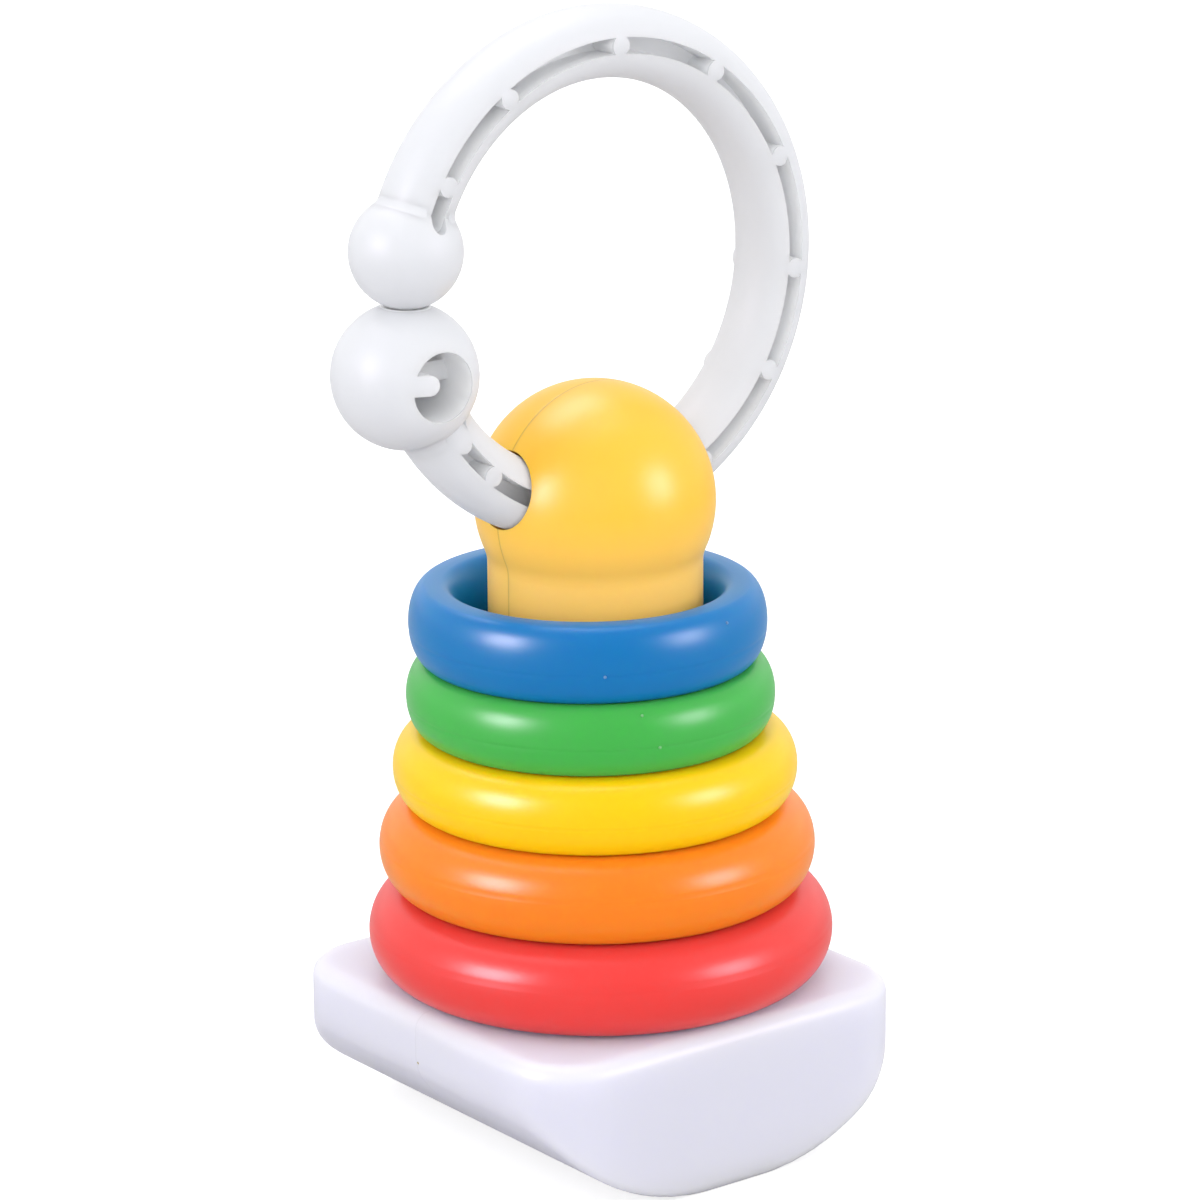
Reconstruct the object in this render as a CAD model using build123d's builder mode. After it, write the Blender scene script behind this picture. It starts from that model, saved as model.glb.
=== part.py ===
"""Stacking ring toy: five loose rings on a ball-topped post, on a block with a rounded
underside, with a sprung clip ring threaded through a tunnel in the ball.

Millimetres. The origin is on the post's axis at the plane that the toy stands on, +Z up.
The front is -Y. The base, post and knob part in the plane y = 0, which is also the clip
ring's plane.
"""

import os
from math import cos, radians, sin, sqrt

from build123d import *

# Base block
BASE_SIDE = 64.2
BASE_HEIGHT = 23.2
BASE_CORNER = 10.0
BASE_FLAT_HALF = 4.5  # half width of the flat that the toy stands on
BASE_WALL_FOOT = 15.05  # where the upright side walls meet the rounded underside
BASE_EDGE = 1.1
BASE_WALL = 2.4
SEAM_BEVEL = 0.25

# Post, and the knob with the ball that plugs into its top
POST_RADIUS = 15.1
POST_WALL = 2.2
KNOB_Z = BASE_HEIGHT + 53.8  # the joint between them, just inside the topmost ring
SPIGOT = 5.0
BALL_RADIUS = 16.9
BALL_Z = BASE_HEIGHT + 69.05
NECK_BLEND = 5.0
FOOT_THICK = 2.4  # the foot is caught under the base's top wall
WAIST_RADIUS = 12.8  # the waist passes the opening in the top wall
WAIST_FLAT = 11.2  # half distance between the two flats that stop the post turning
FIT = 0.1  # clearance of a fixed fit

# Clip ring
CLIP_X = -0.4
CLIP_Z = BASE_HEIGHT + 101.3
CLIP_OUTER = 37.2
CLIP_THICK = 10.1
CLIP_WIDTH = 10.9
CLIP_MID = CLIP_OUTER - CLIP_THICK / 2
SMALL_BALL = (166.8, 31.95, 7.8)  # angle, distance from the clip's centre, radius
BIG_BALL = (197.0, 33.05, 10.1)
SEAT_GAP = 0.25
SOCKET_RADIUS = 4.8
SOCKET_FLOOR = 4.0
RIB_THICK = 2.8
RIB_LENGTH = 4.5
SLOT_WIDTH = 2.3
SLOT_FLOOR = -0.7
SLOT_START, SLOT_END = 158.6, 216.5
BRIDGE_RADIUS = 1.4
BRIDGE_ANGLES = (149.3, 122.8, 87.6, 56.5, 24.8, -5.1, -31.7, -61.0, -92.0, -130.5, SLOT_END)
NUB_RADIUS = 2.8
NUB_PROUD = 1.6
NUB_FIRST, NUB_PITCH, NUB_COUNT = -119.63, 28.57, 10
TUNNEL_GAP = 0.3

# Loose rings, from the bottom up: name, outer radius, height, resting offset from the axis
RING_HOLE = 17.95
RING_LAND = 0.25  # share of the section's half width that is a flat land, top and bottom
RING_STEP = 0.02
PARTING_BEVEL = 0.15
RINGS = (
    ("red_ring", 33.0, 12.82, (0.36, -0.28)),
    ("orange_ring", 30.9, 12.30, (0.0, 0.0)),
    ("yellow_ring", 28.6, 10.79, (-0.18, 0.14)),
    ("green_ring", 26.0, 10.21, (-0.62, 0.48)),
    ("blue_ring", 25.2, 11.02, (-0.88, 0.68)),
)

PIN_RADIUS = 1.5
PIN_REACH = 4.0
BOSS_RADIUS = 3.0
BASE_PINS = ((-23.0, 14.0), (23.0, 14.0), (-9.0, 6.2), (9.0, 6.2))  # x, z
POST_PINS = ((0.0, 34.0), (0.0, 64.0))
KNOB_PINS = ((0.0, 80.5), (0.0, 104.0))

os.makedirs("parts", exist_ok=True)


def write(name, part):
    part.label = name
    export_step(part, f"parts/{name}.step")


def clip_point(angle, distance, y=0.0):
    """A point given by its angle about the clip ring's centre."""
    return (CLIP_X + distance * cos(radians(angle)), y, CLIP_Z + distance * sin(radians(angle)))


def clip_plane(angle):
    """A plane across the clip ring at an angle: local x is outwards, local y is +Y."""
    turn = radians(angle)
    return Plane(
        origin=(CLIP_X, 0, CLIP_Z),
        x_dir=(cos(turn), 0, sin(turn)),
        z_dir=(-sin(turn), 0, cos(turn)),
    )


CLIP_AXIS = Axis((CLIP_X, 0, CLIP_Z), (0, 1, 0))  # a turn about +Y lowers the angle


def rounded_block(inset, blend):
    """The base block, or its cavity when it is drawn in by a wall thickness."""
    half = BASE_SIDE / 2 - inset
    arc_centre = ((BASE_SIDE / 2 - BASE_FLAT_HALF) ** 2 + BASE_WALL_FOOT**2) / (2 * BASE_WALL_FOOT)
    foot = arc_centre - sqrt((arc_centre - inset) ** 2 - (half - BASE_FLAT_HALF) ** 2)
    with BuildPart() as block:
        with BuildSketch(Plane.XZ):
            with BuildLine():
                Line((0, inset), (BASE_FLAT_HALF, inset))
                TangentArc((BASE_FLAT_HALF, inset), (half, foot), tangent=(1, 0))
                Polyline((half, foot), (half, BASE_HEIGHT - inset), (0, BASE_HEIGHT - inset))
                mirror(about=Plane.YZ)
            make_face()
        extrude(amount=half, both=True)
        with BuildSketch():
            RectangleRounded(2 * half, 2 * half, BASE_CORNER - inset)
        extrude(amount=BASE_HEIGHT, mode=Mode.INTERSECT)
        if blend > 0:
            fillet(block.edges(), blend)
    return block.part


def half_of(whole, pins, bevel, front):
    """The front or rear half of a housing, with pins in front and sockets behind."""
    with BuildPart() as half:
        add(whole)
        # Plane.XZ faces -Y, so its top side is the front
        split(bisect_by=Plane.XZ, keep=Keep.TOP if front else Keep.BOTTOM)
        if bevel > 0:
            seam = half.faces().filter_by(Axis.Y).sort_by(Axis.Y)[-1 if front else 0]
            chamfer(seam.outer_wire().edges(), bevel)
        with BuildSketch(Plane.XZ):
            with Locations(*pins):
                Circle(PIN_RADIUS if front else PIN_RADIUS + FIT)
        if front:
            extrude(amount=-PIN_REACH)
        else:
            extrude(amount=-PIN_REACH - 1, mode=Mode.SUBTRACT)
    return half.part


# ---------------------------------------------------------------- base halves
base_block = rounded_block(0, BASE_EDGE)
base_core = rounded_block(BASE_WALL, 0)
foot_top = BASE_HEIGHT - BASE_WALL - FIT
deck_top = foot_top - FOOT_THICK - FIT


def waist(gap):
    """Outline of the post's waist, or of the opening around it when it is grown by a gap."""
    with BuildSketch() as outline:
        Circle(WAIST_RADIUS + gap)
        Rectangle(2 * POST_RADIUS, 2 * (WAIST_FLAT + gap), mode=Mode.INTERSECT)
    return outline.sketch


with BuildPart() as base_cavity:
    add(base_core)
    # A deck under the post's foot, open in the middle
    with BuildSketch(Plane.XY.offset(deck_top)):
        Rectangle(BASE_SIDE, BASE_SIDE)
        Circle(POST_RADIUS - POST_WALL, mode=Mode.SUBTRACT)
    extrude(amount=-BASE_WALL, mode=Mode.SUBTRACT)
    # Bosses for the pins that join the halves
    with BuildSketch(Plane.XZ):
        with Locations(*BASE_PINS):
            Circle(BOSS_RADIUS)
    extrude(amount=BASE_SIDE / 2, both=True, mode=Mode.SUBTRACT)

with BuildPart() as base_body:
    add(base_block)
    add(base_cavity.part, mode=Mode.SUBTRACT)
    # The waist's opening in the top
    with BuildSketch(Plane.XY.offset(BASE_HEIGHT - BASE_WALL)):
        add(waist(FIT))
    extrude(amount=BASE_WALL, mode=Mode.SUBTRACT)

base_front_half = half_of(base_body.part, BASE_PINS, SEAM_BEVEL, True)
write("base_front_half", base_front_half)
base_rear_half = half_of(base_body.part, BASE_PINS, SEAM_BEVEL, False)
write("base_rear_half", base_rear_half)


# ---------------------------------------------------------------- post halves
post_foot = foot_top - FOOT_THICK
post_bore = POST_RADIUS - POST_WALL
with BuildPart() as post_body:
    with BuildSketch(Plane.XY.offset(post_foot)):
        Circle(POST_RADIUS)
    extrude(amount=KNOB_Z - post_foot)
    # The waist between the foot and the shoulder that stands on the base
    with BuildSketch(Plane.XY.offset(foot_top)):
        Circle(POST_RADIUS + 1)
        add(waist(0), mode=Mode.SUBTRACT)
    extrude(amount=BASE_HEIGHT - foot_top, mode=Mode.SUBTRACT)
    with BuildSketch(Plane.XY.offset(BASE_HEIGHT + POST_WALL)):
        Circle(post_bore)
    extrude(amount=KNOB_Z - BASE_HEIGHT - POST_WALL, mode=Mode.SUBTRACT)
    # Bosses for the pins that join the halves
    with BuildSketch(Plane.XZ):
        with Locations(*POST_PINS):
            Circle(BOSS_RADIUS)
    extrude(amount=post_bore + POST_WALL / 2, both=True)

post_front_half = half_of(post_body.part, POST_PINS, 0, True)
write("post_front_half", post_front_half)
post_rear_half = half_of(post_body.part, POST_PINS, 0, False)
write("post_rear_half", post_rear_half)


# ---------------------------------------------------------------- knob halves
neck = BALL_Z - sqrt(BALL_RADIUS**2 - POST_RADIUS**2)
with BuildPart() as knob_body:
    with BuildSketch(Plane.XZ) as profile:
        with BuildLine():
            Polyline((0, BALL_Z + BALL_RADIUS), (0, KNOB_Z), (POST_RADIUS, KNOB_Z), (POST_RADIUS, neck))
            ThreePointArc((POST_RADIUS, neck), (BALL_RADIUS, BALL_Z), (0, BALL_Z + BALL_RADIUS))
        make_face()
        fillet(profile.vertices().sort_by_distance((POST_RADIUS, neck))[0], NECK_BLEND)
    revolve(axis=Axis.Z)
    # The spigot that enters the post
    with BuildSketch(Plane.XY.offset(KNOB_Z)):
        Circle(post_bore - FIT)
    extrude(amount=-SPIGOT)
    # The clip ring's way through the ball, with a groove for the nubs on its rear face
    with BuildSketch(clip_plane(-45)):
        with Locations((CLIP_MID, 0)):
            Ellipse(CLIP_WIDTH / 2 + TUNNEL_GAP, CLIP_THICK / 2 + TUNNEL_GAP, rotation=90)
        with Locations((CLIP_MID, CLIP_WIDTH / 2)):
            Rectangle(2 * (NUB_RADIUS + TUNNEL_GAP), 2 * (NUB_PROUD + TUNNEL_GAP))
    revolve(axis=CLIP_AXIS, revolution_arc=90, mode=Mode.SUBTRACT)

knob_front_half = half_of(knob_body.part, KNOB_PINS, 0, True)
write("knob_front_half", knob_front_half)
knob_rear_half = half_of(knob_body.part, KNOB_PINS, 0, False)
write("knob_rear_half", knob_rear_half)


# ---------------------------------------------------------------- loose rings
def ring_half(outer, height, upper):
    """Half of a ring about the origin, above or below its moulded line at mid height."""
    half_width = (outer - RING_HOLE) / 2
    middle = (outer + RING_HOLE) / 2
    land = RING_LAND * half_width
    reach, rise = half_width - land, height / 2
    with BuildPart() as half:
        with BuildSketch(Plane.XZ):
            with Locations((middle + land, 0), (middle - land, 0)):
                Ellipse(max(reach, rise), min(reach, rise), rotation=0 if reach > rise else 90)
            with Locations((middle, 0)):
                Rectangle(2 * land, 2 * rise)
            with Locations((middle, -rise)):
                Rectangle(4 * half_width, 2 * rise, mode=Mode.SUBTRACT)
        revolve(axis=Axis.Z)
        rims = half.edges().filter_by(GeomType.CIRCLE).group_by(Axis.Z)[0].sort_by(SortBy.RADIUS)
        chamfer([rims[0], rims[-1]], PARTING_BEVEL)
        if not upper:
            mirror(about=Plane.XY, mode=Mode.REPLACE)
    return half.part


seat = BASE_HEIGHT
for ring, outer, height, offset in RINGS:
    place = Pos(offset[0], offset[1], seat + RING_STEP + height / 2)
    write(f"{ring}_lower", place * ring_half(outer, height, False))
    write(f"{ring}_upper", place * ring_half(outer, height, True))
    seat += RING_STEP + height


# ---------------------------------------------------------------- clip ring
with BuildPart() as slots:
    with BuildSketch(clip_plane(SLOT_START)):
        with Locations((CLIP_MID, (SLOT_FLOOR - CLIP_WIDTH) / 2)):
            Rectangle(SLOT_WIDTH, CLIP_WIDTH + SLOT_FLOOR)
    revolve(axis=CLIP_AXIS, revolution_arc=SLOT_START - (SLOT_END - 360))
    with BuildSketch(Plane.XZ.offset(-SLOT_FLOOR)):
        x, _, z = clip_point(SLOT_START, CLIP_MID)
        with Locations((x, z)):
            Circle(SLOT_WIDTH / 2)
    extrude(amount=CLIP_WIDTH + SLOT_FLOOR)
    for angle in BRIDGE_ANGLES:
        with BuildSketch(Plane.XZ):
            x, _, z = clip_point(angle, CLIP_MID)
            with Locations((x, z)):
                Circle(BRIDGE_RADIUS)
        extrude(amount=CLIP_WIDTH, mode=Mode.SUBTRACT)

with BuildPart() as seat_gap:
    with Locations(clip_point(SMALL_BALL[0], SMALL_BALL[1])):
        Sphere(SMALL_BALL[2] + SEAT_GAP)
        Sphere(SMALL_BALL[2], mode=Mode.SUBTRACT)
    with Locations(clip_point(BIG_BALL[0], BIG_BALL[1])):
        Sphere(BIG_BALL[2] + 1, mode=Mode.INTERSECT)

with BuildPart() as socket:
    x, _, z = clip_point(BIG_BALL[0], BIG_BALL[1])
    with BuildSketch(Plane.XZ.offset(-SOCKET_FLOOR)):
        with Locations((x, z)):
            Circle(SOCKET_RADIUS)
    extrude(amount=SOCKET_FLOOR + BIG_BALL[2])
    # A rib that stands across the socket and rises to the rim on one side
    with Locations((x, -1.5 + SOCKET_FLOOR / 2, z + 0.8)):
        Box(2 * SOCKET_RADIUS, 3 + SOCKET_FLOOR, RIB_THICK, mode=Mode.SUBTRACT)
    with BuildSketch(Plane.XZ.offset(-SOCKET_FLOOR)):
        with Locations((x - SOCKET_RADIUS + 1.2, z + 0.8)):
            SlotOverall(RIB_LENGTH, RIB_THICK)
    extrude(amount=SOCKET_FLOOR + BIG_BALL[2], mode=Mode.SUBTRACT)

with BuildPart() as link_ring:
    with BuildSketch(clip_plane(SMALL_BALL[0])):
        with Locations((CLIP_MID, 0)):
            Ellipse(CLIP_WIDTH / 2, CLIP_THICK / 2, rotation=90)
    revolve(axis=CLIP_AXIS, revolution_arc=360 - (BIG_BALL[0] - SMALL_BALL[0]))
    for angle, distance, radius in (SMALL_BALL, BIG_BALL):
        with Locations(clip_point(angle, distance)):
            Sphere(radius)
    for k in range(NUB_COUNT):
        angle = NUB_FIRST + k * NUB_PITCH
        with Locations(clip_point(angle, CLIP_MID, CLIP_WIDTH / 2 + NUB_PROUD - NUB_RADIUS)):
            Sphere(NUB_RADIUS)
    add(seat_gap.part, mode=Mode.SUBTRACT)
    add(slots.part, mode=Mode.SUBTRACT)
    add(socket.part, mode=Mode.SUBTRACT)

write("link_ring", link_ring.part)
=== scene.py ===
"""Stacking ring toy, dressed: a rocking base, a ball-topped post, five loose rings and a clip ring."""
import math

import bmesh
import bpy
import numpy as np
from bpy.props import FloatProperty, FloatVectorProperty, IntProperty, PointerProperty
from mathutils import Matrix, Vector


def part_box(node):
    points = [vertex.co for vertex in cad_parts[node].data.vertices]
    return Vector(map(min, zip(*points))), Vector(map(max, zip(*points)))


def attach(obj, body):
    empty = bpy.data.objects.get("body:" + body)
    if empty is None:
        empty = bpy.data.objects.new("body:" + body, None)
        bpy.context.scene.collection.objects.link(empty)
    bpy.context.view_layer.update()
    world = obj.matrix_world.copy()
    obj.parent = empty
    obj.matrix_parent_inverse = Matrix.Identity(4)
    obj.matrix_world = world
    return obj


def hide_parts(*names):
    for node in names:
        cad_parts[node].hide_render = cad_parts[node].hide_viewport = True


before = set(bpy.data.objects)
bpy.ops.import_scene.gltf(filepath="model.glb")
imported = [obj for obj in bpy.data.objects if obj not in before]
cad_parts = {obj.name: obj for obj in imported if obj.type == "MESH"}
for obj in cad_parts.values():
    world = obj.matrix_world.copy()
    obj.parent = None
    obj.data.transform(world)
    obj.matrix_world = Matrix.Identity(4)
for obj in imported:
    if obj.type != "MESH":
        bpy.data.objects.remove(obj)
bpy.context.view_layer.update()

bl_info = {
    "name": "Stacking Ring Toy",
    "version": (1, 0, 0),
    "blender": (4, 5, 0),
    "location": "View3D > Sidebar > Ring Toy",
    "description": "Dresses the base, post, rings and clip ring of a stacking ring toy",
    "category": "Object",
}

MM = 0.001
LINE_TEXT = "Height of the moulded line above the ring's middle"
HAIRLINE = 0.12 * MM  # half width of the seam that the materials draw
SPECK_BROWN = (0.4, 0.33, 0.18)
SPECK_PLACE = (-32.05 * MM, -0.35 * MM, 16.1 * MM)
SPECK_RADIUS = 0.22 * MM
GLOSS_TINT = (0.95, 0.86, 1.0)  # colour of the lamps that are seen only in gloss
RING_NAMES = ("red_ring", "orange_ring", "yellow_ring", "green_ring", "blue_ring")


def colour_property(name, default, description):
    """A colour."""
    return FloatVectorProperty(
        name=name, description=description, default=default, subtype="COLOR", size=3, min=0, max=1
    )


def length_property(name, default, description):
    """A size, which is never negative."""
    return FloatProperty(
        name=name, description=description, default=default, min=0, unit="LENGTH", precision=5
    )


def place_property(name, default, description):
    """A place along an axis, on either side of the origin."""
    return FloatProperty(name=name, description=description, default=default, unit="LENGTH", precision=5)


def angle_property(name, degrees, description):
    """An angle, written in degrees."""
    return FloatProperty(
        name=name, description=description, default=math.radians(degrees), subtype="ANGLE"
    )


def power_property(name, default, description):
    """The power of a lamp."""
    return FloatProperty(name=name, description=description, default=default, min=0, unit="POWER")


class ToyColours(bpy.types.PropertyGroup):
    """Colours of the moulded plastics"""

    base: colour_property("Base white", (0.685, 0.685, 0.775), "Cool white of the rocking base")
    clip: colour_property("Clip white", (0.69, 0.70, 0.73), "White of the clip ring")
    # Painted light: the clip ring's slots, socket and seat are painted a paler white than the clip, to lighten the
    # shade that falls in them
    hollow: colour_property("Hollow white", (0.95, 0.97, 1.0), "Paler white in the clip ring's hollows")
    post: colour_property("Post yellow", (1.0, 0.55, 0.05), "Warm yellow of the ball")
    # Painted light: the post below the ball is painted a paler yellow than the ball, to lighten the shade that
    # falls there among the rings and under the ball
    neck_painted_light: colour_property("Neck yellow", (1.0, 0.60, 0.14), "Warm yellow of the post below the ball")
    red_ring: colour_property("Red ring", (0.78, 0.055, 0.05), "Colour of the bottom ring")
    orange_ring: colour_property("Orange ring", (0.88, 0.235, 0.01), "Colour of the second ring")
    yellow_ring: colour_property("Yellow ring", (1.0, 0.585, 0.0), "Colour of the middle ring")
    green_ring: colour_property("Green ring", (0.06, 0.44, 0.075), "Colour of the fourth ring")
    blue_ring: colour_property("Blue ring", (0.002, 0.185, 0.47), "Colour of the top ring")


class RingSizes(bpy.types.PropertyGroup):
    """Sizes that the five rings share"""

    hole_radius: length_property("Hole radius", 17.95 * MM, "Radius of the hole in every ring")
    land_share: FloatProperty(
        name="Land share", description="Flat share of the section's half width", default=0.25, min=0, max=1
    )
    red_ring_line: place_property("Red line", 1.7 * MM, LINE_TEXT)
    orange_ring_line: place_property("Orange line", 1.3 * MM, LINE_TEXT)
    yellow_ring_line: place_property("Yellow line", -0.6 * MM, LINE_TEXT)
    green_ring_line: place_property("Green line", -0.7 * MM, LINE_TEXT)
    blue_ring_line: place_property("Blue line", -1.0 * MM, LINE_TEXT)
    line_width: length_property("Line width", 0.16 * MM, "Width of the moulded line round a ring")
    line_depth: length_property("Line depth", 0.07 * MM, "Depth of the moulded line round a ring")
    pip_radius: length_property("Pip radius", 0.22 * MM, "Radius of the pips that the mould left")
    around: IntProperty(name="Around", description="Faces round the ring", default=192, min=24)
    across: IntProperty(name="Across", description="Faces round the section", default=96, min=16)


class BaseSizes(bpy.types.PropertyGroup):
    """Sizes of the rocking base that its box doesn't give"""

    corner: length_property("Corner radius", 10.0 * MM, "Radius of the upright corners")
    flat_half: length_property("Half flat", 4.5 * MM, "Half width of the flat that the toy stands on")
    wall_foot: length_property("Wall foot", 15.05 * MM, "Height where the walls meet the rounded underside")
    top_round: length_property("Top rounding", 2.4 * MM, "Rounding of the upper edge")
    low_round: length_property("Lower rounding", 1.1 * MM, "Rounding of the lower edge")
    seam_width: length_property("Seam width", 0.12 * MM, "Half width of the seam between the halves")
    seam_depth: length_property("Seam depth", 0.03 * MM, "Depth of the seam between the halves")
    spacing: length_property("Spacing", 0.5 * MM, "Distance between the mesh's lines")


class ClipSizes(bpy.types.PropertyGroup):
    """Places of the clip ring's hollows, where a paler white is painted as painted light, and sizes of its blends
    """

    centre_x: place_property("Centre X", -0.4 * MM, "Clip ring's centre")
    centre_z: length_property("Centre height", 124.5 * MM, "Clip ring's centre")
    middle: length_property("Middle radius", 32.15 * MM, "Radius of the bar's middle line")
    slot_half: length_property("Half slot", 1.3 * MM, "Half width of the slots, with some spare")
    half_depth: length_property("Half depth", 5.2 * MM, "Depth of the slots' mouths from the middle plane")
    ball_angle: angle_property("Ball angle", 197, "Place of the large ball round the ring")
    ball_distance: length_property("Ball distance", 33.05 * MM, "Distance of the large ball from the ring's centre")
    ball_inner: length_property("Ball inner radius", 9.9 * MM, "Radius below which the socket's walls lie")
    ball_clear: length_property("Ball clear radius", 11.2 * MM, "Radius beyond which the slots lie")
    tip_radius: length_property("Tip radius", 7.8 * MM, "Radius of the clip ring's small ball")
    ball_radius: length_property("Ball radius", 10.1 * MM, "Radius of the clip ring's large ball")
    tip_blend: length_property("Tip blend", 2.2 * MM, "Radius of the hollow between the bar and the small ball")
    ball_blend: length_property("Ball blend", 3.0 * MM, "Radius of the hollow between the bar and the large ball")
    bar_depth: length_property("Bar half depth", 5.45 * MM, "Half of the bar's width from front to rear")
    bar_breadth: length_property("Bar half breadth", 5.05 * MM, "Half of the bar's thickness across the ring")
    blend_end: angle_property("Blend end", 20, "Angle from the front at which the blends stop for the slot")
    ball_outer: length_property("Ball outer radius", 10.4 * MM, "Radius about the large ball that holds the seat")
    tip_angle: angle_property("Tip angle", 166.8, "Place of the small ball round the ring")
    tip_distance: length_property("Tip distance", 31.95 * MM, "Distance of the small ball from the ring's centre")
    tip_outer: length_property("Tip outer radius", 8.25 * MM, "Radius about the small ball that holds the seat")
    seat_angle: angle_property("Seat angle", 178, "Place where the two balls meet, round the ring")
    seat_clear: length_property("Seat clear radius", 9.5 * MM, "Radius about the seat beyond which the slots lie")
    socket: length_property("Socket", 5.0 * MM, "Radius of the socket, with some spare")


class StageSizes(bpy.types.PropertyGroup):
    """Floor, lamps and camera"""

    floor_size: length_property("Floor size", 8.0, "Side of the square floor")
    lamp_distance: length_property("Lamp distance", 1.3, "Distance of the lamps from the toy")
    lamp_size: length_property("Lamp size", 0.5, "Side of a square side lamp")
    left_power: power_property("Left power", 3.1, "Power of the left lamp")
    right_power: power_property("Right power", 3.3, "Power of the right lamp")
    top_power: power_property("Top power", 1.8, "Power of the top lamp")
    front_power: power_property("Front power", 5.4, "Power of the front lamp")
    camera_distance: length_property("Camera distance", 0.73857, "Distance from camera to aim point")
    camera_azimuth: angle_property("Camera azimuth", -37.33, "Turn of the view about the vertical")
    camera_elevation: angle_property("Camera elevation", 16.177, "Height of the view above the horizon")
    camera_roll: angle_property("Camera roll", -0.383, "Turn of the camera about its own line of sight")
    aim_height: length_property("Aim height", 77.59 * MM, "Height of the aim point above the floor")
    lens: FloatProperty(name="Lens", description="Focal length in millimetres", default=158.2, min=1)
    shift: FloatProperty(name="Shift", description="Sideways shift of the lens", default=0.00374)


class ToySettings(bpy.types.PropertyGroup):
    """All settings of the toy"""

    colours: PointerProperty(type=ToyColours)
    base: PointerProperty(type=BaseSizes)
    rings: PointerProperty(type=RingSizes)
    clip: PointerProperty(type=ClipSizes)
    stage: PointerProperty(type=StageSizes)


class Nodes:
    """Short calls that add and join the nodes of one tree."""

    def __init__(self, tree):
        self.tree = tree
        tree.nodes.clear()

    def put(self, socket, value):
        """Joins a socket to another, or sets its value."""
        if isinstance(value, bpy.types.NodeSocket):
            self.tree.links.new(value, socket)
        else:
            socket.default_value = value

    def add(self, kind, settings=None, **inputs):
        """One node. An input is named by its socket, with underscores for spaces."""
        node = self.tree.nodes.new(kind)
        for key, value in (settings or {}).items():
            setattr(node, key, value)
        for key, value in inputs.items():
            self.put(node.inputs[key.replace("_", " ")], value)
        return node

    def math(self, operation, *values):
        node = self.tree.nodes.new("ShaderNodeMath")
        node.operation = operation
        for socket, value in zip(node.inputs, values):
            self.put(socket, value)
        return node.outputs[0]

    def mix(self, share, first, second):
        node = self.add("ShaderNodeMix", {"data_type": "RGBA"})
        self.put(node.inputs["Factor"], share)
        self.put(node.inputs[6], first)
        self.put(node.inputs[7], second)
        return node.outputs[2]

    def below(self, value, limit):
        """1 where a value is below a limit, else 0."""
        return self.math("LESS_THAN", value, limit)

    def distance(self, point, other):
        node = self.add("ShaderNodeVectorMath", {"operation": "DISTANCE"})
        self.put(node.inputs[0], point)
        self.put(node.inputs[1], other)
        return node.outputs["Value"]

    def vector(self, operation, *values):
        node = self.tree.nodes.new("ShaderNodeVectorMath")
        node.operation = operation
        for socket, value in zip(node.inputs, values):
            self.put(socket, value)
        return node.outputs["Vector"]


# ------------------------------------------------------------------------------ materials
def shaded(colour, factor):
    """A colour made lighter or darker, as the four numbers that a socket takes."""
    return tuple(min(1.0, channel * factor) for channel in colour) + (1.0,)


def bell(nodes, distance, width):
    """A smooth bump of height 1 about distance 0."""
    share = nodes.math("DIVIDE", distance, width)
    return nodes.math("EXPONENT", nodes.math("MULTIPLY", nodes.math("MULTIPLY", share, share), -1.0))


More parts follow.
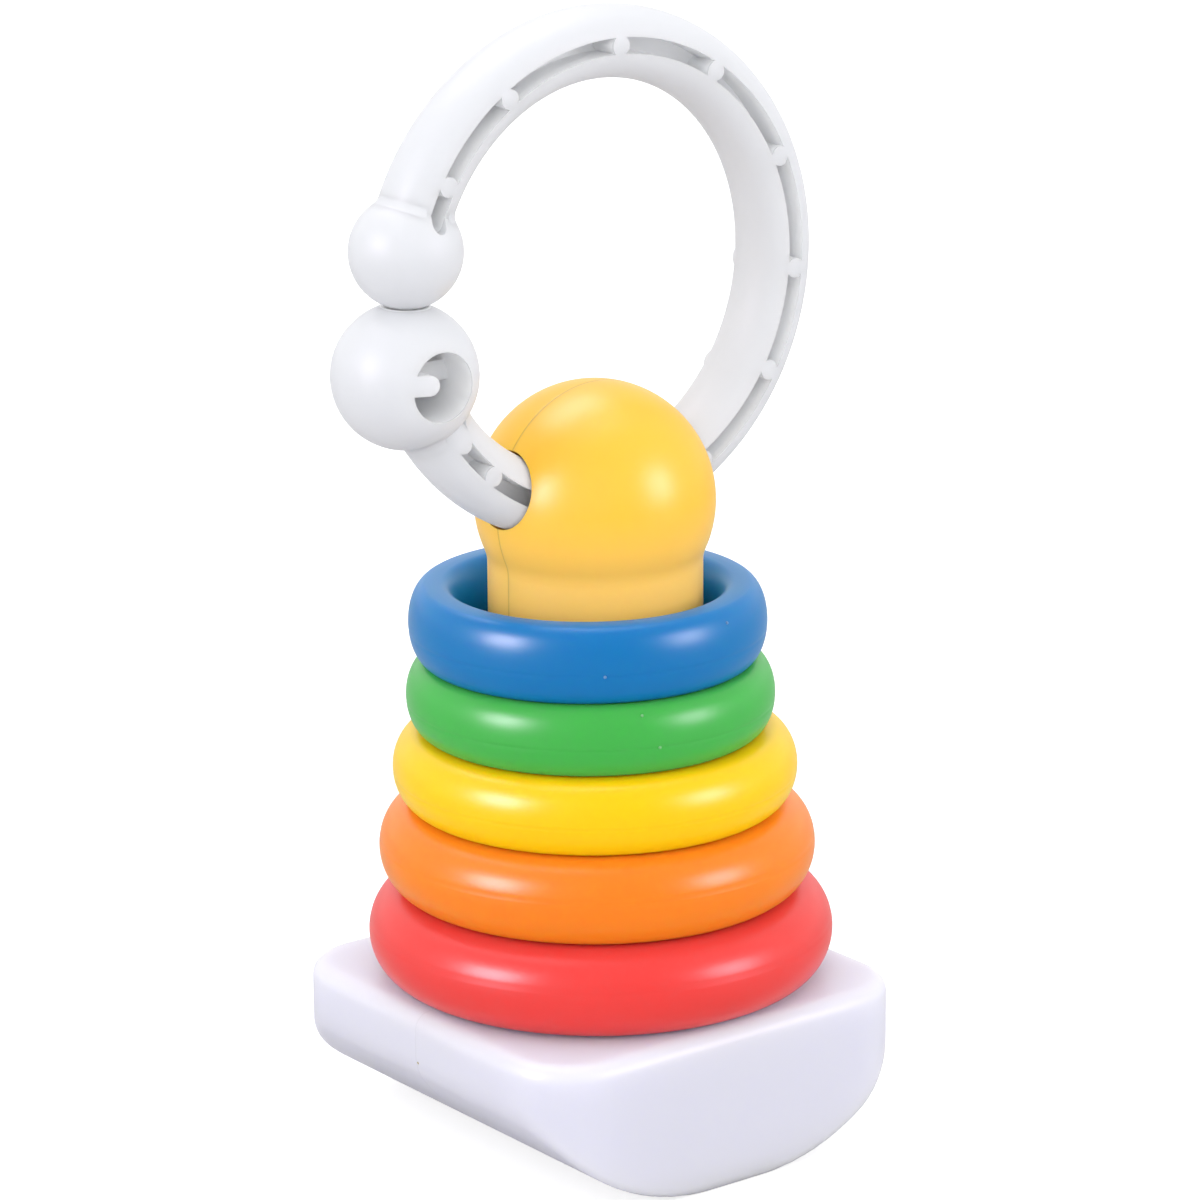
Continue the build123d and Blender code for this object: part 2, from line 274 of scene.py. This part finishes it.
def moulded_plastic(name, colour, roughness, shine, translucence=0.0, depth=1.0 * MM, seam=0.0,
                    seam_shade=0.0, second=None, share=None):
    """Glossy moulded plastic: faint colour drift, flow marks, fine skin texture and hairline scuffs.

    Light goes the depth into the plastic as far as it is translucent. A seam is the depth of a hairline
    groove in the plane y = 0, and seam_shade is how much darker the groove is painted, a painted shade.
    A second colour shows where a share, made by a function of the nodes and the place on the object, is 1.
    Light that bounces off is painted paler than the plastic: a painted light that lightens the shade and
    colour cast on nearby parts, standing in for light through translucent mouldings.
    """
    material = bpy.data.materials.new(name)
    material.use_nodes = True
    nodes = Nodes(material.node_tree)
    place = nodes.add("ShaderNodeTexCoord").outputs["Object"]
    drift = nodes.add("ShaderNodeTexNoise", Vector=place, Scale=28.0, Detail=1.0).outputs["Fac"]
    tint = nodes.mix(drift, shaded(colour, 0.985), shaded(colour, 1.015))
    if second:
        tint = nodes.mix(share(nodes, place), tint, shaded(second, 1.0))
    if seam:
        across = nodes.add("ShaderNodeSeparateXYZ", Vector=place).outputs["Y"]
        hairline = bell(nodes, across, HAIRLINE)
        # Painted shade: along the seam the colour is darkened, as the shade in its hairline groove
        tint = nodes.mix(nodes.math("MULTIPLY", hairline, seam_shade), tint, shaded(colour, 0.5))
    # Painted light: rays that bounce off this plastic see a paler colour, which lightens the shade and colour cast
    # on nearby parts
    bounced = nodes.add("ShaderNodeLightPath").outputs["Is Diffuse Ray"]
    pale = tuple(0.4 * channel + 0.6 * max(colour) for channel in colour)
    tint = nodes.mix(nodes.math("MULTIPLY", bounced, 0.8), tint, shaded(pale, 1.0))
    stretch = nodes.add("ShaderNodeMapping", Vector=place, Rotation=(0.5, 0.9, 0.3), Scale=(1.0, 18.0, 18.0))
    scuffs = nodes.add(
        "ShaderNodeTexNoise", Vector=stretch.outputs[0], Scale=150.0, Detail=4.0, Roughness=0.7
    ).outputs["Fac"]
    worn = nodes.add(
        "ShaderNodeMapRange", Value=scuffs, From_Min=0.6, From_Max=0.8, To_Min=0.0, To_Max=0.08
    ).outputs[0]
    patches = nodes.add("ShaderNodeTexNoise", Vector=place, Scale=60.0, Detail=2.0).outputs["Fac"]
    polish = nodes.add(
        "ShaderNodeMapRange", Value=patches, From_Min=0.2, From_Max=0.8,
        To_Min=roughness - 0.02, To_Max=roughness + 0.02
    ).outputs[0]
    skin = nodes.add("ShaderNodeTexNoise", Vector=place, Scale=1400.0, Detail=1.0).outputs["Fac"]
    waves = nodes.add("ShaderNodeTexNoise", Vector=place, Scale=90.0, Detail=0.0).outputs["Fac"]
    relief = nodes.math("MULTIPLY", nodes.math("ADD", nodes.math("MULTIPLY", skin, 0.03), waves), 0.02 * MM)
    if seam:
        relief = nodes.math("ADD", relief, nodes.math("MULTIPLY", hairline, -seam))
    bump = nodes.add("ShaderNodeBump", Height=relief, Strength=1.0, Distance=1.0)
    shader = nodes.add(
        "ShaderNodeBsdfPrincipled",
        Base_Color=tint,
        Roughness=nodes.math("ADD", polish, worn),
        IOR=1.49,
        Specular_IOR_Level=shine,
        Normal=bump.outputs[0],
        Subsurface_Weight=translucence,
        Subsurface_Radius=tuple(0.1 + 0.9 * channel / max(colour) for channel in colour),
        Subsurface_Scale=depth,
    )
    output = nodes.add("ShaderNodeOutputMaterial")
    nodes.put(output.inputs["Surface"], shader.outputs[0])
    return material


def dress(node, material):
    """Gives a carried-over node its material."""
    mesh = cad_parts[node].data
    mesh.materials.clear()
    mesh.materials.append(material)


# ------------------------------------------------------------------------------ geometry trees
def add_inputs(tree, sockets):
    """Named inputs of a geometry tree, and its one output."""
    for name, kind in sockets:
        tree.interface.new_socket(name, in_out="INPUT", socket_type=f"NodeSocket{kind}")
    tree.interface.new_socket("Geometry", in_out="OUTPUT", socket_type="NodeSocketGeometry")


def finish_tree(nodes, geometry, material):
    """Ends a tree in smooth shading, Realize Instances and Set Material."""
    smooth = nodes.add("GeometryNodeSetShadeSmooth", Geometry=geometry)
    real = nodes.add("GeometryNodeRealizeInstances", Geometry=smooth.outputs[0])
    painted = nodes.add("GeometryNodeSetMaterial", Geometry=real.outputs[0], Material=material)
    output = nodes.add("NodeGroupOutput")
    nodes.put(output.inputs[0], painted.outputs[0])


def finish_piece(name, mesh):
    """An object of the mesh, with normals outwards and smooth shading."""
    shell = bmesh.new()
    shell.from_mesh(mesh)
    bmesh.ops.recalc_face_normals(shell, faces=shell.faces)
    for face in shell.faces:
        face.smooth = True
    shell.to_mesh(mesh)
    shell.free()
    piece = bpy.data.objects.new(name, mesh)
    bpy.context.scene.collection.objects.link(piece)
    return piece


def mesh_from_tree(name, tree, values):
    """The tree's result as an object with a plain mesh, normals outwards."""
    source = bpy.data.objects.new(f"{name}_source", bpy.data.meshes.new(f"{name}_source"))
    bpy.context.scene.collection.objects.link(source)
    modifier = source.modifiers.new(name, "NODES")
    modifier.node_group = tree
    for socket in tree.interface.items_tree:
        if socket.in_out == "INPUT":
            modifier[socket.identifier] = values[socket.name]
    bpy.context.view_layer.update()
    evaluated = source.evaluated_get(bpy.context.evaluated_depsgraph_get())
    mesh = bpy.data.meshes.new_from_object(evaluated)
    source.modifiers.clear()
    bpy.data.objects.remove(source)
    mesh.name = name
    return finish_piece(name, mesh)


def ring_tree():
    """A ring swept round an upright axis: an oval section with flat lands and a moulded line."""
    tree = bpy.data.node_groups.new("Loose ring", "GeometryNodeTree")
    add_inputs(
        tree,
        (
            ("Outer Radius", "Float"), ("Hole Radius", "Float"), ("Height", "Float"),
            ("Land Share", "Float"), ("Line Width", "Float"), ("Line Depth", "Float"),
            ("Line Height", "Float"), ("Centre", "Vector"), ("Around", "Int"), ("Across", "Int"),
            ("Material", "Material"),
        ),
    )
    nodes = Nodes(tree)
    given = nodes.add("NodeGroupInput").outputs
    grid = nodes.add(
        "GeometryNodeMeshGrid", Size_X=math.tau, Size_Y=math.tau,
        Vertices_X=nodes.math("ADD", given["Around"], 1.0),
        Vertices_Y=nodes.math("ADD", given["Across"], 1.0),
    )
    angles = nodes.add("ShaderNodeSeparateXYZ", Vector=nodes.add("GeometryNodeInputPosition").outputs[0])
    turn, step = angles.outputs[0], angles.outputs[1]
    # Faces gather at mid height, where the moulded line is
    gathering = 0.42
    swing = nodes.math("MULTIPLY", nodes.math("SINE", nodes.math("MULTIPLY", step, 2.0)), gathering)
    angle = nodes.math("SUBTRACT", step, swing)
    half_width = nodes.math("MULTIPLY", nodes.math("SUBTRACT", given["Outer Radius"], given["Hole Radius"]), 0.5)
    middle = nodes.math("MULTIPLY", nodes.math("ADD", given["Outer Radius"], given["Hole Radius"]), 0.5)
    land = nodes.math("MULTIPLY", half_width, given["Land Share"])
    reach = nodes.math("SUBTRACT", half_width, land)
    rise = nodes.math("MULTIPLY", given["Height"], 0.5)
    cosine, sine = nodes.math("COSINE", angle), nodes.math("SINE", angle)
    side = nodes.math("SIGN", cosine)
    height = nodes.math("MULTIPLY", rise, sine)
    groove = bell(nodes, nodes.math("SUBTRACT", height, given["Line Height"]), given["Line Width"])
    sunk = nodes.math("MULTIPLY", groove, given["Line Depth"])
    proud = nodes.math("SUBTRACT", land, sunk)
    radius = nodes.math(
        "ADD", nodes.math("ADD", middle, nodes.math("MULTIPLY", reach, cosine)),
        nodes.math("MULTIPLY", side, proud),
    )
    point = nodes.add(
        "ShaderNodeCombineXYZ",
        X=nodes.math("MULTIPLY", radius, nodes.math("COSINE", turn)),
        Y=nodes.math("MULTIPLY", radius, nodes.math("SINE", turn)),
        Z=height,
    )
    placed = nodes.add(
        "GeometryNodeSetPosition", Geometry=grid.outputs["Mesh"],
        Position=nodes.vector("ADD", point.outputs[0], given["Centre"]),
    )
    closed = nodes.add("GeometryNodeMergeByDistance", Geometry=placed.outputs[0], Distance=0.001 * MM)
    finish_tree(nodes, closed.outputs[0], given["Material"])
    return tree


# ------------------------------------------------------------------------------ base
def lines_between(low, high, spacing, seam=()):
    """Places of mesh lines from low to high, with extra ones at a seam."""
    count = max(2, round((high - low) / spacing))
    return np.unique(np.concatenate([np.linspace(low, high, count + 1), seam]))


def box_grid(xs, ys, zs):
    """Points and quads of a box's six sides, ruled along the given places."""
    points, quads = {}, []
    sides = (
        (xs, ys, lambda a, b: (a, b, zs[0])), (xs, ys, lambda a, b: (a, b, zs[-1])),
        (ys, zs, lambda a, b: (xs[0], a, b)), (ys, zs, lambda a, b: (xs[-1], a, b)),
        (xs, zs, lambda a, b: (a, ys[0], b)), (xs, zs, lambda a, b: (a, ys[-1], b)),
    )
    for across, along, corner in sides:
        rows = [[points.setdefault(corner(a, b), len(points)) for b in along] for a in across]
        for first, second in zip(rows, rows[1:]):
            quads += [
                (first[k], second[k], second[k + 1], first[k + 1]) for k in range(len(along) - 1)
            ]
    return np.array(list(points)), quads


def rounded_meet(first, second, radius):
    """Distance to where two solids overlap, with the edge between them rounded."""
    one, two = first + radius, second + radius
    outside = np.hypot(np.maximum(one, 0), np.maximum(two, 0))
    return outside + np.minimum(np.maximum(one, two), 0) - radius


def base_distance(points, sizes, half, height):
    """Signed distance of points to the base's skin."""
    x, y, z = np.abs(points[:, 0]), np.abs(points[:, 1]), points[:, 2]
    inner = half - sizes.corner
    walls = np.hypot(np.maximum(x - inner, 0), np.maximum(y - inner, 0)) - sizes.corner
    walls = np.maximum(walls, np.maximum(x, y) - half)
    run = half - sizes.flat_half
    bend = (run**2 + sizes.wall_foot**2) / (2 * sizes.wall_foot)
    beyond = np.maximum(x - sizes.flat_half, 0)
    under = np.where(z < bend, np.hypot(beyond, z - bend), beyond) - bend
    body = rounded_meet(walls, under, sizes.low_round)
    return rounded_meet(body, z - height, sizes.top_round)


def speck_share(nodes, place):
    """1 in the tiny brown speck by the seam on the base's left wall, else 0."""
    return nodes.below(nodes.distance(place, SPECK_PLACE), SPECK_RADIUS)


class TOY_OT_base(bpy.types.Operator):
    """Makes the skin of the rocking base, with its soft edges and the seam between its halves"""

    bl_idname = "ring_toy.base"
    bl_label = "Base"

    def execute(self, context):
        settings = context.scene.ring_toy
        sizes = settings.base
        low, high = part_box("base_rear_half")
        half, height = high.x, high.z
        seam = sizes.seam_width * np.array((-3, -2, -1.4, -1, -0.7, -0.35, 0, 0.35, 0.7, 1, 1.4, 2, 3))
        points, quads = box_grid(
            lines_between(-half, half, sizes.spacing),
            lines_between(-half, half, sizes.spacing, seam),
            lines_between(0, height, sizes.spacing),
        )
        centre = np.array((0, 0, height / 2))
        rays = points - centre
        # Halve the range along each ray till it meets the skin
        near, far = np.zeros(len(rays)), np.ones(len(rays))
        for _ in range(26):
            middle = (near + far) / 2
            inside = base_distance(centre + rays * middle[:, None], sizes, half, height) < 0
            near, far = np.where(inside, middle, near), np.where(inside, far, middle)
        points = centre + rays * near[:, None]
        sunk = sizes.seam_depth * np.exp(-((points[:, 1] / sizes.seam_width) ** 2))
        points += (centre - points) * (sunk / np.linalg.norm(rays, axis=1))[:, None]
        mesh = bpy.data.meshes.new("base_body")
        mesh.from_pydata(points.tolist(), [], quads)
        piece = finish_piece("base_body", mesh)
        mesh.materials.append(moulded_plastic(
            "base_white", settings.colours.base, roughness=0.36, shine=0.18, translucence=1.0, depth=8.0 * MM,
            seam=0.01 * MM, seam_shade=0.12, second=SPECK_BROWN, share=speck_share
        ))
        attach(piece, "base")
        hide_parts("base_front_half", "base_rear_half")
        return {"FINISHED"}


# ------------------------------------------------------------------------------ post
def neck_painted_light_share(nodes, place):
    """1 below the ball, fading to 0 on it: where the paler neck yellow is painted, as painted light."""
    height = nodes.add("ShaderNodeSeparateXYZ", Vector=place).outputs["Z"]
    return nodes.add(
        "ShaderNodeMapRange", Value=height, From_Min=82 * MM, From_Max=94 * MM, To_Min=1.0, To_Max=0.0
    ).outputs[0]


class TOY_OT_post(bpy.types.Operator):
    """Dresses the two halves of the post and its ball"""

    bl_idname = "ring_toy.post"
    bl_label = "Post"

    def execute(self, context):
        colours = context.scene.ring_toy.colours
        # Painted light: the paler neck yellow below the ball
        yellow = moulded_plastic(
            "post_yellow", colours.post, roughness=0.36, shine=0.26, translucence=0.3, depth=2.0 * MM,
            seam=0.04 * MM, seam_shade=0.5, second=colours.neck_painted_light, share=neck_painted_light_share
        )
        for node in ("post_front_half", "post_rear_half", "knob_front_half", "knob_rear_half"):
            dress(node, yellow)
        return {"FINISHED"}


# ------------------------------------------------------------------------------ rings
# Pips that the mould left on two of the rings: turn in degrees, and millimetres above the ring's middle
PIPS = {
    "green_ring": ((-111, 3.8), (-106, -0.7)),
    "blue_ring": ((-122, -1.0), (-76, 3.7)),
}


def ring_point(outer, hole, height, land_share, turn, above):
    """A point on a ring's outer skin, about the ring's middle."""
    half_width = (outer - hole) / 2
    land = land_share * half_width
    reach = (half_width - land) * math.sqrt(1 - (2 * above / height) ** 2)
    radius = (outer + hole) / 2 + land + reach
    return Vector((radius * math.cos(math.radians(turn)), radius * math.sin(math.radians(turn)), above))


class TOY_OT_rings(bpy.types.Operator):
    """Makes the five loose rings"""

    bl_idname = "ring_toy.rings"
    bl_label = "Rings"

    def execute(self, context):
        settings = context.scene.ring_toy
        sizes = settings.rings
        tree = ring_tree()
        for ring in RING_NAMES:
            low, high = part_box(f"{ring}_lower")[0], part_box(f"{ring}_upper")[1]
            colour = getattr(settings.colours, ring)
            material = moulded_plastic(
                f"{ring}_plastic", colour, roughness=0.33, shine=0.25, translucence=0.8, depth=4.0 * MM
            )
            centre = (low + high) / 2
            outer, height = (high.x - low.x) / 2, high.z - low.z
            piece = mesh_from_tree(
                f"{ring}_body",
                tree,
                {
                    "Outer Radius": outer,
                    "Hole Radius": sizes.hole_radius,
                    "Height": height,
                    "Land Share": sizes.land_share,
                    "Line Width": sizes.line_width,
                    "Line Depth": sizes.line_depth,
                    "Line Height": getattr(sizes, f"{ring}_line"),
                    "Centre": centre,
                    "Around": sizes.around,
                    "Across": sizes.across,
                    "Material": material,
                },
            )
            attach(piece, ring)
            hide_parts(f"{ring}_lower", f"{ring}_upper")
            if ring in PIPS:
                spots = [
                    centre + ring_point(outer, sizes.hole_radius, height, sizes.land_share, turn, above * MM)
                    for turn, above in PIPS[ring]
                ]
                self.make_pips(ring, spots, sizes.pip_radius, colour)
        return {"FINISHED"}

    def make_pips(self, ring, spots, radius, colour):
        """The pips that the mould left on a ring, as tiny domes a little paler than it."""
        domes = bmesh.new()
        for spot in spots:
            bmesh.ops.create_icosphere(domes, subdivisions=3, radius=radius, matrix=Matrix.Translation(spot))
        mesh = bpy.data.meshes.new(f"{ring}_pips")
        domes.to_mesh(mesh)
        domes.free()
        pale = tuple(0.8 * channel + 0.12 for channel in colour)
        mesh.materials.append(moulded_plastic(f"{ring}_pip_plastic", pale, roughness=0.33, shine=0.25))
        piece = finish_piece(f"{ring}_pips", mesh)
        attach(piece, ring)


# ------------------------------------------------------------------------------ clip ring
def on_clip(sizes, angle, distance):
    """The point at an angle and a distance about the clip ring's centre."""
    return (
        sizes.centre_x + distance * math.cos(angle), 0,
        sizes.centre_z + distance * math.sin(angle),
    )


def painted_hollow_light_share(sizes):
    """A function that makes the share that is 1 in the clip ring's slots, socket and seat, where a paler white is
    painted as painted light, else 0.
    """

    def share(nodes, place):
        axes = nodes.add("ShaderNodeSeparateXYZ", Vector=place).outputs
        flat = nodes.add("ShaderNodeCombineXYZ", X=axes["X"], Y=0.0, Z=axes["Z"]).outputs[0]
        away = nodes.distance(flat, (sizes.centre_x, 0, sizes.centre_z))
        aside = nodes.math("ABSOLUTE", nodes.math("SUBTRACT", away, sizes.middle))
        within = nodes.below(nodes.math("ABSOLUTE", axes["Y"]), sizes.half_depth)
        ball = on_clip(sizes, sizes.ball_angle, sizes.ball_distance)
        seat = on_clip(sizes, sizes.seat_angle, sizes.middle)
        tip = on_clip(sizes, sizes.tip_angle, sizes.tip_distance)
        slots = nodes.math("MULTIPLY", nodes.below(aside, sizes.slot_half), within)
        for spot, clear in ((ball, sizes.ball_clear), (seat, sizes.seat_clear)):
            slots = nodes.math("MULTIPLY", slots, nodes.math("GREATER_THAN", nodes.distance(place, spot), clear))
        bore = nodes.math(
            "MULTIPLY", nodes.below(nodes.distance(flat, ball), sizes.socket),
            nodes.below(nodes.distance(place, ball), sizes.ball_inner)
        )
        meeting = nodes.math(
            "MULTIPLY", nodes.below(nodes.distance(place, tip), sizes.tip_outer),
            nodes.below(nodes.distance(place, ball), sizes.ball_outer)
        )
        return nodes.math("MAXIMUM", nodes.math("MAXIMUM", slots, bore), meeting)

    return share


def bar_points(sizes, angles, turns, above):
    """Points above the skin of the clip ring's bar, at angles about the ring and turns about the bar."""
    skin = 1 / np.hypot(np.cos(turns) / sizes.bar_breadth, np.sin(turns) / sizes.bar_depth)
    away = sizes.middle + (skin + above) * np.cos(turns)
    return np.stack((
        sizes.centre_x + away * np.cos(angles),
        (skin + above) * np.sin(turns),
        sizes.centre_z + away * np.sin(angles),
    ), axis=-1)


def angles_at(sizes, ball, start, way, turns, above, reach):
    """The angles about the ring at which points above the bar's skin lie at a reach from a ball's centre.

    The search halves a range that starts at the ball's own angle and goes 35 degrees one way.
    """
    near, far = np.zeros_like(turns), np.full_like(turns, math.radians(35))
    for _ in range(40):
        middle = (near + far) / 2
        points = bar_points(sizes, start + way * middle, turns, above)
        inside = np.linalg.norm(points - ball, axis=-1) < reach
        near, far = np.where(inside, middle, near), np.where(inside, far, middle)
    return start + way * near


def blend_mesh(name, sizes, start, distance, radius, blend, way):
    """The hollow blend from the clip ring's bar to one of its balls, as a closed sickle round the bar.

    Its skin is an arc about centres that lie a blend's radius above both the bar and the ball. Its inner
    edge is sunk in the bar.
    """
    ball = np.array(on_clip(sizes, start, distance))
    front, sunk = -math.pi / 2, 0.8 * MM
    sections, steps = 129, 13
    turns = np.linspace(front + sizes.blend_end, front + 2 * math.pi - sizes.blend_end, sections)
    angles = angles_at(sizes, ball, start, way, turns, blend, radius + blend)
    centres = bar_points(sizes, angles, turns, blend)
    on_bar = bar_points(sizes, angles, turns, 0) - centres
    on_ball = (ball - centres) * (blend / (radius + blend))
    inner = bar_points(sizes, angles_at(sizes, ball, start, way, turns, 0, radius), turns, -sunk)
    rows = []
    for share in np.linspace(0, 1, steps):
        ray = (1 - share) * on_bar + share * on_ball
        rows.append(centres + ray * (blend / np.linalg.norm(ray, axis=-1))[:, None])
    rows.append(inner)
    points = np.stack(rows, axis=1)
    count, across = points.shape[:2]
    faces = [
        (i * across + j, i * across + (j + 1) % across, (i + 1) * across + (j + 1) % across, (i + 1) * across + j)
        for i in range(count - 1) for j in range(across)
    ]
    faces += [tuple(range(across)), tuple(range((count - 1) * across, count * across))]
    mesh = bpy.data.meshes.new(name)
    mesh.from_pydata(points.reshape(-1, 3).tolist(), [], faces)
    return mesh


class TOY_OT_clip(bpy.types.Operator):
    """Dresses the clip ring and makes the soft blends between its bar and its balls"""

    bl_idname = "ring_toy.clip"
    bl_label = "Clip ring"

    def execute(self, context):
        colours, sizes = context.scene.ring_toy.colours, context.scene.ring_toy.clip
        # Painted light: the hollows of the clip ring get the paler hollow white
        white = moulded_plastic(
            "clip_white", colours.clip, roughness=0.42, shine=0.14, translucence=0.6, depth=4.0 * MM,
            second=colours.hollow, share=painted_hollow_light_share(sizes)
        )
        dress("link_ring", white)
        blend_white = moulded_plastic("clip_blend_white", colours.clip, roughness=0.42, shine=0.14)
        for name, start, distance, radius, blend, way in (
            ("tip_blend", sizes.tip_angle, sizes.tip_distance, sizes.tip_radius, sizes.tip_blend, -1),
            ("ball_blend", sizes.ball_angle, sizes.ball_distance, sizes.ball_radius, sizes.ball_blend, 1),
        ):
            mesh = blend_mesh(name, sizes, start, distance, radius, blend, way)
            mesh.materials.append(blend_white)
            piece = finish_piece(name, mesh)
            mesh.set_sharp_from_angle(angle=math.radians(50))
            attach(piece, "clip")
        return {"FINISHED"}


# ------------------------------------------------------------------------------ stage
class TOY_OT_stage(bpy.types.Operator):
    """Makes the floor, the lamps and the camera"""

    bl_idname = "ring_toy.stage"
    bl_label = "Stage"

    def execute(self, context):
        stage = context.scene.ring_toy.stage
        self.make_world(context.scene)
        self.make_floor(stage)
        aim = Vector((0, 0, stage.aim_height))
        view = stage.camera_azimuth
        # Name, degrees from the view and above the horizon, size, power, and how much stronger in gloss
        lamps = (
            ("left_lamp", -56, 20, stage.lamp_size, stage.left_power, 12.0),
            ("right_lamp", 68, 18, stage.lamp_size, stage.right_power, 5.8),
            ("top_lamp", -150, 72, 2 * stage.lamp_size, stage.top_power, 20.0),
            ("front_lamp", 0, 20, 2 * stage.lamp_size, stage.front_power, 0.0),
        )
        for name, azimuth, elevation, size, power, gloss in lamps:
            azimuth = view + math.radians(azimuth)
            elevation = math.radians(elevation)
            lamp = self.make_lamp(name, size, power)
            lamp.visible_glossy = False
            place_facing(lamp, aim, azimuth, elevation, stage.lamp_distance)
            if gloss:
                lamp = self.make_lamp(f"{name}_gloss", size, power * gloss)
                lamp.data.color = GLOSS_TINT
                lamp.visible_diffuse = False
                place_facing(lamp, aim, azimuth, elevation, stage.lamp_distance)
        data = bpy.data.cameras.new("camera")
        data.lens = stage.lens
        data.sensor_width = 36
        data.shift_x = stage.shift
        camera = bpy.data.objects.new("camera", data)
        place_facing(camera, aim, view, stage.camera_elevation, stage.camera_distance)
        camera.matrix_world = camera.matrix_world @ Matrix.Rotation(stage.camera_roll, 4, "Z")
        context.scene.collection.objects.link(camera)
        context.scene.camera = camera
        context.scene.view_settings.view_transform = "Standard"
        return {"FINISHED"}

    def make_lamp(self, name, size, power):
        """A square lamp."""
        data = bpy.data.lights.new(name, "AREA")
        data.size = size
        data.energy = power
        lamp = bpy.data.objects.new(name, data)
        bpy.context.scene.collection.objects.link(lamp)
        return lamp

    def make_world(self, scene):
        """White where it is seen. In gloss and as a source of light it is a studio.

        The side that the toy faces is a dim room, and the other sides are pale walls.
        """
        world = bpy.data.worlds.new("studio")
        world.use_nodes = True
        scene.world = world
        nodes = Nodes(world.node_tree)
        rays = nodes.add("ShaderNodeLightPath").outputs
        way = nodes.add("ShaderNodeTexCoord").outputs["Generated"]
        turn = scene.ring_toy.stage.camera_azimuth
        product = nodes.add("ShaderNodeVectorMath", {"operation": "DOT_PRODUCT"})
        nodes.put(product.inputs[0], way)
        nodes.put(product.inputs[1], (math.sin(turn), -math.cos(turn), 0.0))
        faced = product.outputs["Value"]

        def walls(side, front):
            """Strength of the side walls, fading to that of the room in front."""
            return nodes.add(
                "ShaderNodeMapRange", Value=faced, From_Min=0.0, From_Max=0.9, To_Min=side, To_Max=front
            ).outputs[0]

        gloss = nodes.math("MULTIPLY", rays["Is Glossy Ray"], walls(1.2, 0.3))
        soft = nodes.math("MULTIPLY", nodes.math("SUBTRACT", 1.0, rays["Is Glossy Ray"]), walls(1.1, 0.62))
        lit = nodes.math("ADD", gloss, soft)
        seen = nodes.math("MAXIMUM", rays["Is Camera Ray"], rays["Is Transmission Ray"])
        level = nodes.math("MAXIMUM", seen, nodes.math("MULTIPLY", lit, nodes.math("SUBTRACT", 1.0, seen)))
        back = nodes.add("ShaderNodeBackground", Color=(1, 1, 1, 1), Strength=level)
        nodes.put(nodes.add("ShaderNodeOutputWorld").inputs["Surface"], back.outputs[0])

    def make_floor(self, stage):
        """A pale floor that keeps the toy's shadow."""
        half = stage.floor_size / 2
        mesh = bpy.data.meshes.new("floor")
        corners = [(-half, -half, 0), (half, -half, 0), (half, half, 0), (-half, half, 0)]
        mesh.from_pydata(corners, [], [(0, 1, 2, 3)])
        floor = bpy.data.objects.new("floor", mesh)
        bpy.context.scene.collection.objects.link(floor)
        material = bpy.data.materials.new("floor_paper")
        material.use_nodes = True
        nodes = Nodes(material.node_tree)
        place = nodes.add("ShaderNodeTexCoord").outputs["Object"]
        fibres = nodes.add("ShaderNodeTexNoise", Vector=place, Scale=300.0, Detail=4.0).outputs["Fac"]
        bump = nodes.add("ShaderNodeBump", Height=fibres, Strength=0.02, Distance=0.0005)
        paper = nodes.add(
            "ShaderNodeBsdfPrincipled", Base_Color=(0.5, 0.5, 0.5, 1), Roughness=0.9, Normal=bump.outputs[0]
        )
        rays = nodes.add("ShaderNodeLightPath").outputs
        lift = nodes.add(
            "ShaderNodeEmission", Color=(1, 1, 1, 1), Strength=nodes.math("MULTIPLY", rays["Is Camera Ray"], 0.7)
        )
        both = nodes.add("ShaderNodeAddShader")
        nodes.put(both.inputs[0], paper.outputs[0])
        nodes.put(both.inputs[1], lift.outputs[0])
        nodes.put(nodes.add("ShaderNodeOutputMaterial").inputs["Surface"], both.outputs[0])
        mesh.materials.append(material)


def place_facing(thing, aim, azimuth, elevation, distance):
    """Puts a lamp or camera at a distance and direction from the aim point, looking at it."""
    back = Vector((
        math.sin(azimuth) * math.cos(elevation),
        -math.cos(azimuth) * math.cos(elevation),
        math.sin(elevation),
    ))
    turn = (-back).to_track_quat("-Z", "Y").to_matrix().to_4x4()
    thing.matrix_world = Matrix.Translation(aim + back * distance) @ turn


class TOY_PT_panel(bpy.types.Panel):
    """Lists the toy's settings and the steps that make it"""

    bl_idname = "TOY_PT_panel"
    bl_label = "Stacking Ring Toy"
    bl_space_type = "VIEW_3D"
    bl_region_type = "UI"
    bl_category = "Ring Toy"

    def draw(self, context):
        settings = context.scene.ring_toy
        for group in (settings.colours, settings.base, settings.rings, settings.clip, settings.stage):
            box = self.layout.box()
            for name in group.bl_rna.properties.keys():
                if name not in {"rna_type", "name"}:
                    box.prop(group, name)
        for step in STEPS:
            self.layout.operator(step.bl_idname)


GROUPS = (ToyColours, BaseSizes, RingSizes, ClipSizes, StageSizes, ToySettings)
STEPS = (TOY_OT_stage, TOY_OT_base, TOY_OT_post, TOY_OT_rings, TOY_OT_clip)


def register():
    """Adds the settings, the steps and the panel to Blender."""
    for item in (*GROUPS, *STEPS, TOY_PT_panel):
        bpy.utils.register_class(item)
    bpy.types.Scene.ring_toy = PointerProperty(type=ToySettings)


def unregister():
    """Takes them out again."""
    del bpy.types.Scene.ring_toy
    for item in reversed((*GROUPS, *STEPS, TOY_PT_panel)):
        bpy.utils.unregister_class(item)


def main():
    """Makes the toy and its stage."""
    register()
    bpy.ops.ring_toy.stage()
    bpy.ops.ring_toy.base()
    bpy.ops.ring_toy.post()
    bpy.ops.ring_toy.rings()
    bpy.ops.ring_toy.clip()


if __name__ == "__main__":
    main()
